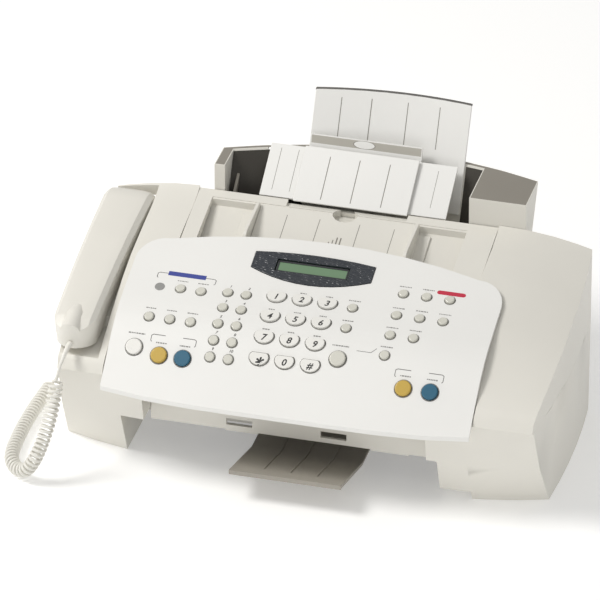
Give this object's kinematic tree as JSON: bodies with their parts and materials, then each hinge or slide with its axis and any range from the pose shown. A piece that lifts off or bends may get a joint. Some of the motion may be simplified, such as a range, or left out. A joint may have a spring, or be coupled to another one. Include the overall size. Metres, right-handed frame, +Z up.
{
  "type": "fax machine",
  "caption": "Desktop fax machine with a side handset on a curly cord, a sloping keypad panel, a document tray, a rear paper feeder and a front paper exit.",
  "frame": {"origin": "centre of the footprint's box at the underside of the base, with the cord left out", "axes": "+X to the machine's right as its user sees it, +Y to its rear, +Z up"},
  "size_m": [0.4543, 0.3221, 0.2304],
  "materials": {
    "body_plastic": "warm off-white moulded plastic with a fine texture",
    "panel_plastic": "slightly whiter moulded plastic, satin",
    "key_plastic": "greyish ivory keys, satin",
    "yellow_key_plastic": "gold yellow start keys",
    "blue_key_plastic": "deep teal blue start keys",
    "dark_plastic": "near-black plastic",
    "display": "green-grey reflective liquid crystal",
    "grey_plastic": "warm grey plastic, fine texture",
    "steel": "plated sheet steel",
    "circuit_board": "green epoxy board",
    "roller_rubber": "black rubber on steel shafts",
    "cord_plastic": "off-white vinyl cord"
  },
  "bodies": {
    "machine": {"base_housing": "body_plastic", "base_lead": "cord_plastic", "carriage_rod": "steel", "cord_plug": "body_plastic", "curly_cord": "cord_plastic", "drive_motor": "steel", "front_bar": "body_plastic", "handset_lead": "cord_plastic", "left_cover": "body_plastic", "line_jack": "dark_plastic", "main_board": "circuit_board", "paper_feeder": "body_plastic", "power_inlet": "dark_plastic", "power_supply": "steel", "print_frame": "steel", "right_cover": "body_plastic", "speaker": "dark_plastic"},
    "paper_support": {"paper_support": "panel_plastic"},
    "feeder_guide": {"feeder_guide": "grey_plastic"},
    "output_tray": {"output_tray": "grey_plastic"},
    "carriage": {"carriage": "dark_plastic", "black_cartridge": "dark_plastic", "colour_cartridge": "dark_plastic"},
    "exit_roller": {"exit_roller": "roller_rubber", "drive_gear": "panel_plastic"},
    "pick_roller": {"pick_roller": "roller_rubber"},
    "scan_unit": {"document_deck": "body_plastic", "image_sensor": "dark_plastic"},
    "document_roller": {"document_roller": "roller_rubber"},
    "left_document_guide": {"left_document_guide": "body_plastic"},
    "right_document_guide": {"right_document_guide": "body_plastic"},
    "document_support": {"document_support": "panel_plastic"},
    "support_leaf": {"support_leaf": "panel_plastic"},
    "control_panel": {"control_panel": "panel_plastic", "lcd_bezel": "dark_plastic", "lcd_module": "display"},
    "left_key_group": {"left_key_group": "key_plastic"},
    "one_touch_key_group": {"one_touch_key_group": "key_plastic"},
    "function_key_group": {"function_key_group": "key_plastic"},
    "scan_key": {"scan_key": "key_plastic"},
    "copy_black_key": {"copy_black_key": "yellow_key_plastic"},
    "copy_colour_key": {"copy_colour_key": "blue_key_plastic"},
    "redial_key": {"redial_key": "key_plastic"},
    "fax_black_key": {"fax_black_key": "yellow_key_plastic"},
    "fax_colour_key": {"fax_colour_key": "blue_key_plastic"},
    "digit_key_1": {"digit_key_1": "key_plastic"},
    "digit_key_2": {"digit_key_2": "key_plastic"},
    "digit_key_3": {"digit_key_3": "key_plastic"},
    "digit_key_4": {"digit_key_4": "key_plastic"},
    "digit_key_5": {"digit_key_5": "key_plastic"},
    "digit_key_6": {"digit_key_6": "key_plastic"},
    "digit_key_7": {"digit_key_7": "key_plastic"},
    "digit_key_8": {"digit_key_8": "key_plastic"},
    "digit_key_9": {"digit_key_9": "key_plastic"},
    "digit_key_star": {"digit_key_star": "key_plastic"},
    "digit_key_0": {"digit_key_0": "key_plastic"},
    "digit_key_hash": {"digit_key_hash": "key_plastic"},
    "handset": {"handset_back": "body_plastic", "handset_front": "body_plastic"},
    "hook_switch": {"hook_switch": "key_plastic"}
  },
  "joints": [
    {"name": "paper_support_slide", "type": "slide", "parent": "machine", "child": "paper_support", "axis": [0, -0.454, -0.891], "range_m": [0, 0.035]},
    {"name": "feeder_guide_slide", "type": "slide", "parent": "machine", "child": "feeder_guide", "axis": [1, 0, 0], "range_m": [0, 0.045]},
    {"name": "output_tray_slide", "type": "slide", "parent": "machine", "child": "output_tray", "axis": [0, 1, 0], "range_m": [0, 0.07]},
    {"name": "carriage_slide", "type": "slide", "parent": "machine", "child": "carriage", "axis": [-1, 0, 0], "range_m": [0, 0.3]},
    {"name": "exit_roller_spin", "type": "hinge", "parent": "machine", "child": "exit_roller", "pos_m": [0.00121, -0.07926, 0.052], "axis": [1, 0, 0], "continuous": true},
    {"name": "pick_roller_spin", "type": "hinge", "parent": "machine", "child": "pick_roller", "pos_m": [0.00121, 0.05874, 0.117], "axis": [1, 0, 0], "continuous": true},
    {"name": "scan_unit_hinge", "type": "hinge", "parent": "machine", "child": "scan_unit", "pos_m": [0.00121, 0.06854, 0.1618], "axis": [-1, 0, 0], "range_deg": [0, 30]},
    {"name": "document_roller_spin", "type": "hinge", "parent": "scan_unit", "child": "document_roller", "pos_m": [0.00121, -0.01426, 0.1276], "axis": [1, 0, 0], "continuous": true},
    {"name": "left_document_guide_slide", "type": "slide", "parent": "scan_unit", "child": "left_document_guide", "axis": [-1, 0, 0], "range_m": [0, 0.0385]},
    {"name": "right_document_guide_slide", "type": "slide", "parent": "scan_unit", "child": "right_document_guide", "axis": [1, 0, 0], "range_m": [0, 0.0385]},
    {"name": "document_support_hinge", "type": "hinge", "parent": "machine", "child": "document_support", "pos_m": [0.00121, 0.07224, 0.16], "axis": [1, 0, 0], "range_deg": [0, 35]},
    {"name": "support_leaf_hinge", "type": "hinge", "parent": "document_support", "child": "support_leaf", "pos_m": [0.00121, 0.11114, 0.1909], "axis": [-1, 0, 0], "range_deg": [0, 125]},
    {"name": "control_panel_hinge", "type": "hinge", "parent": "scan_unit", "child": "control_panel", "pos_m": [0.00121, -0.12626, 0.084], "axis": [1, 0, 0], "range_deg": [0, 30]},
    {"name": "handset_lift", "type": "slide", "parent": "machine", "child": "handset", "axis": [0, -0.1857, 0.9826], "range_m": [0, 0.06]},
    {"name": "left_key_group_press", "type": "slide", "parent": "control_panel", "child": "left_key_group", "axis": [0, 0.3432, -0.9393], "range_m": [0, 0.0014], "stiffness_N_per_m": 900, "springref_m": -0.0015},
    {"name": "one_touch_key_group_press", "type": "slide", "parent": "control_panel", "child": "one_touch_key_group", "axis": [0, 0.4458, -0.8952], "range_m": [0, 0.0014], "stiffness_N_per_m": 900, "springref_m": -0.0015},
    {"name": "function_key_group_press", "type": "slide", "parent": "control_panel", "child": "function_key_group", "axis": [0, 0.2957, -0.9553], "range_m": [0, 0.0014], "stiffness_N_per_m": 900, "springref_m": -0.0015},
    {"name": "scan_key_press", "type": "slide", "parent": "control_panel", "child": "scan_key", "axis": [0, 0.6691, -0.7431], "range_m": [0, 0.0014], "stiffness_N_per_m": 300, "springref_m": -0.0015},
    {"name": "copy_black_key_press", "type": "slide", "parent": "control_panel", "child": "copy_black_key", "axis": [0, 0.6691, -0.7431], "range_m": [0, 0.0014], "stiffness_N_per_m": 300, "springref_m": -0.0015},
    {"name": "copy_colour_key_press", "type": "slide", "parent": "control_panel", "child": "copy_colour_key", "axis": [0, 0.6691, -0.7431], "range_m": [0, 0.0014], "stiffness_N_per_m": 300, "springref_m": -0.0015},
    {"name": "redial_key_press", "type": "slide", "parent": "control_panel", "child": "redial_key", "axis": [0, 0.5827, -0.8127], "range_m": [0, 0.0014], "stiffness_N_per_m": 300, "springref_m": -0.0015},
    {"name": "fax_black_key_press", "type": "slide", "parent": "control_panel", "child": "fax_black_key", "axis": [0, 0.6691, -0.7431], "range_m": [0, 0.0014], "stiffness_N_per_m": 300, "springref_m": -0.0015},
    {"name": "fax_colour_key_press", "type": "slide", "parent": "control_panel", "child": "fax_colour_key", "axis": [0, 0.6691, -0.7431], "range_m": [0, 0.0014], "stiffness_N_per_m": 300, "springref_m": -0.0015},
    {"name": "digit_key_1_press", "type": "slide", "parent": "control_panel", "child": "digit_key_1", "axis": [0, 0.2957, -0.9553], "range_m": [0, 0.0014], "stiffness_N_per_m": 300, "springref_m": -0.0015},
    {"name": "digit_key_2_press", "type": "slide", "parent": "control_panel", "child": "digit_key_2", "axis": [0, 0.2957, -0.9553], "range_m": [0, 0.0014], "stiffness_N_per_m": 300, "springref_m": -0.0015},
    {"name": "digit_key_3_press", "type": "slide", "parent": "control_panel", "child": "digit_key_3", "axis": [0, 0.2957, -0.9553], "range_m": [0, 0.0014], "stiffness_N_per_m": 300, "springref_m": -0.0015},
    {"name": "digit_key_4_press", "type": "slide", "parent": "control_panel", "child": "digit_key_4", "axis": [0, 0.3473, -0.9377], "range_m": [0, 0.0014], "stiffness_N_per_m": 300, "springref_m": -0.0015},
    {"name": "digit_key_5_press", "type": "slide", "parent": "control_panel", "child": "digit_key_5", "axis": [0, 0.3473, -0.9377], "range_m": [0, 0.0014], "stiffness_N_per_m": 300, "springref_m": -0.0015},
    {"name": "digit_key_6_press", "type": "slide", "parent": "control_panel", "child": "digit_key_6", "axis": [0, 0.3473, -0.9377], "range_m": [0, 0.0014], "stiffness_N_per_m": 300, "springref_m": -0.0015},
    {"name": "digit_key_7_press", "type": "slide", "parent": "control_panel", "child": "digit_key_7", "axis": [0, 0.5121, -0.8589], "range_m": [0, 0.0014], "stiffness_N_per_m": 300, "springref_m": -0.0015},
    {"name": "digit_key_8_press", "type": "slide", "parent": "control_panel", "child": "digit_key_8", "axis": [0, 0.5121, -0.8589], "range_m": [0, 0.0014], "stiffness_N_per_m": 300, "springref_m": -0.0015},
    {"name": "digit_key_9_press", "type": "slide", "parent": "control_panel", "child": "digit_key_9", "axis": [0, 0.5121, -0.8589], "range_m": [0, 0.0014], "stiffness_N_per_m": 300, "springref_m": -0.0015},
    {"name": "digit_key_star_press", "type": "slide", "parent": "control_panel", "child": "digit_key_star", "axis": [0, 0.6505, -0.7595], "range_m": [0, 0.0014], "stiffness_N_per_m": 300, "springref_m": -0.0015},
    {"name": "digit_key_0_press", "type": "slide", "parent": "control_panel", "child": "digit_key_0", "axis": [0, 0.6505, -0.7595], "range_m": [0, 0.0014], "stiffness_N_per_m": 300, "springref_m": -0.0015},
    {"name": "digit_key_hash_press", "type": "slide", "parent": "control_panel", "child": "digit_key_hash", "axis": [0, 0.6505, -0.7595], "range_m": [0, 0.0014], "stiffness_N_per_m": 300, "springref_m": -0.0015},
    {"name": "hook_switch_rise", "type": "slide", "parent": "machine", "child": "hook_switch", "axis": [0, -0.1857, 0.9826], "range_m": [0, 0.003]}
  ],
  "couplings": [
    {"joint": "hook_switch_rise", "follows": "handset_lift", "ratio": 0.05},
    {"joint": "left_document_guide_slide", "follows": "right_document_guide_slide", "ratio": 1},
    {"joint": "pick_roller_spin", "follows": "exit_roller_spin", "ratio": 0.38461}
  ]
}
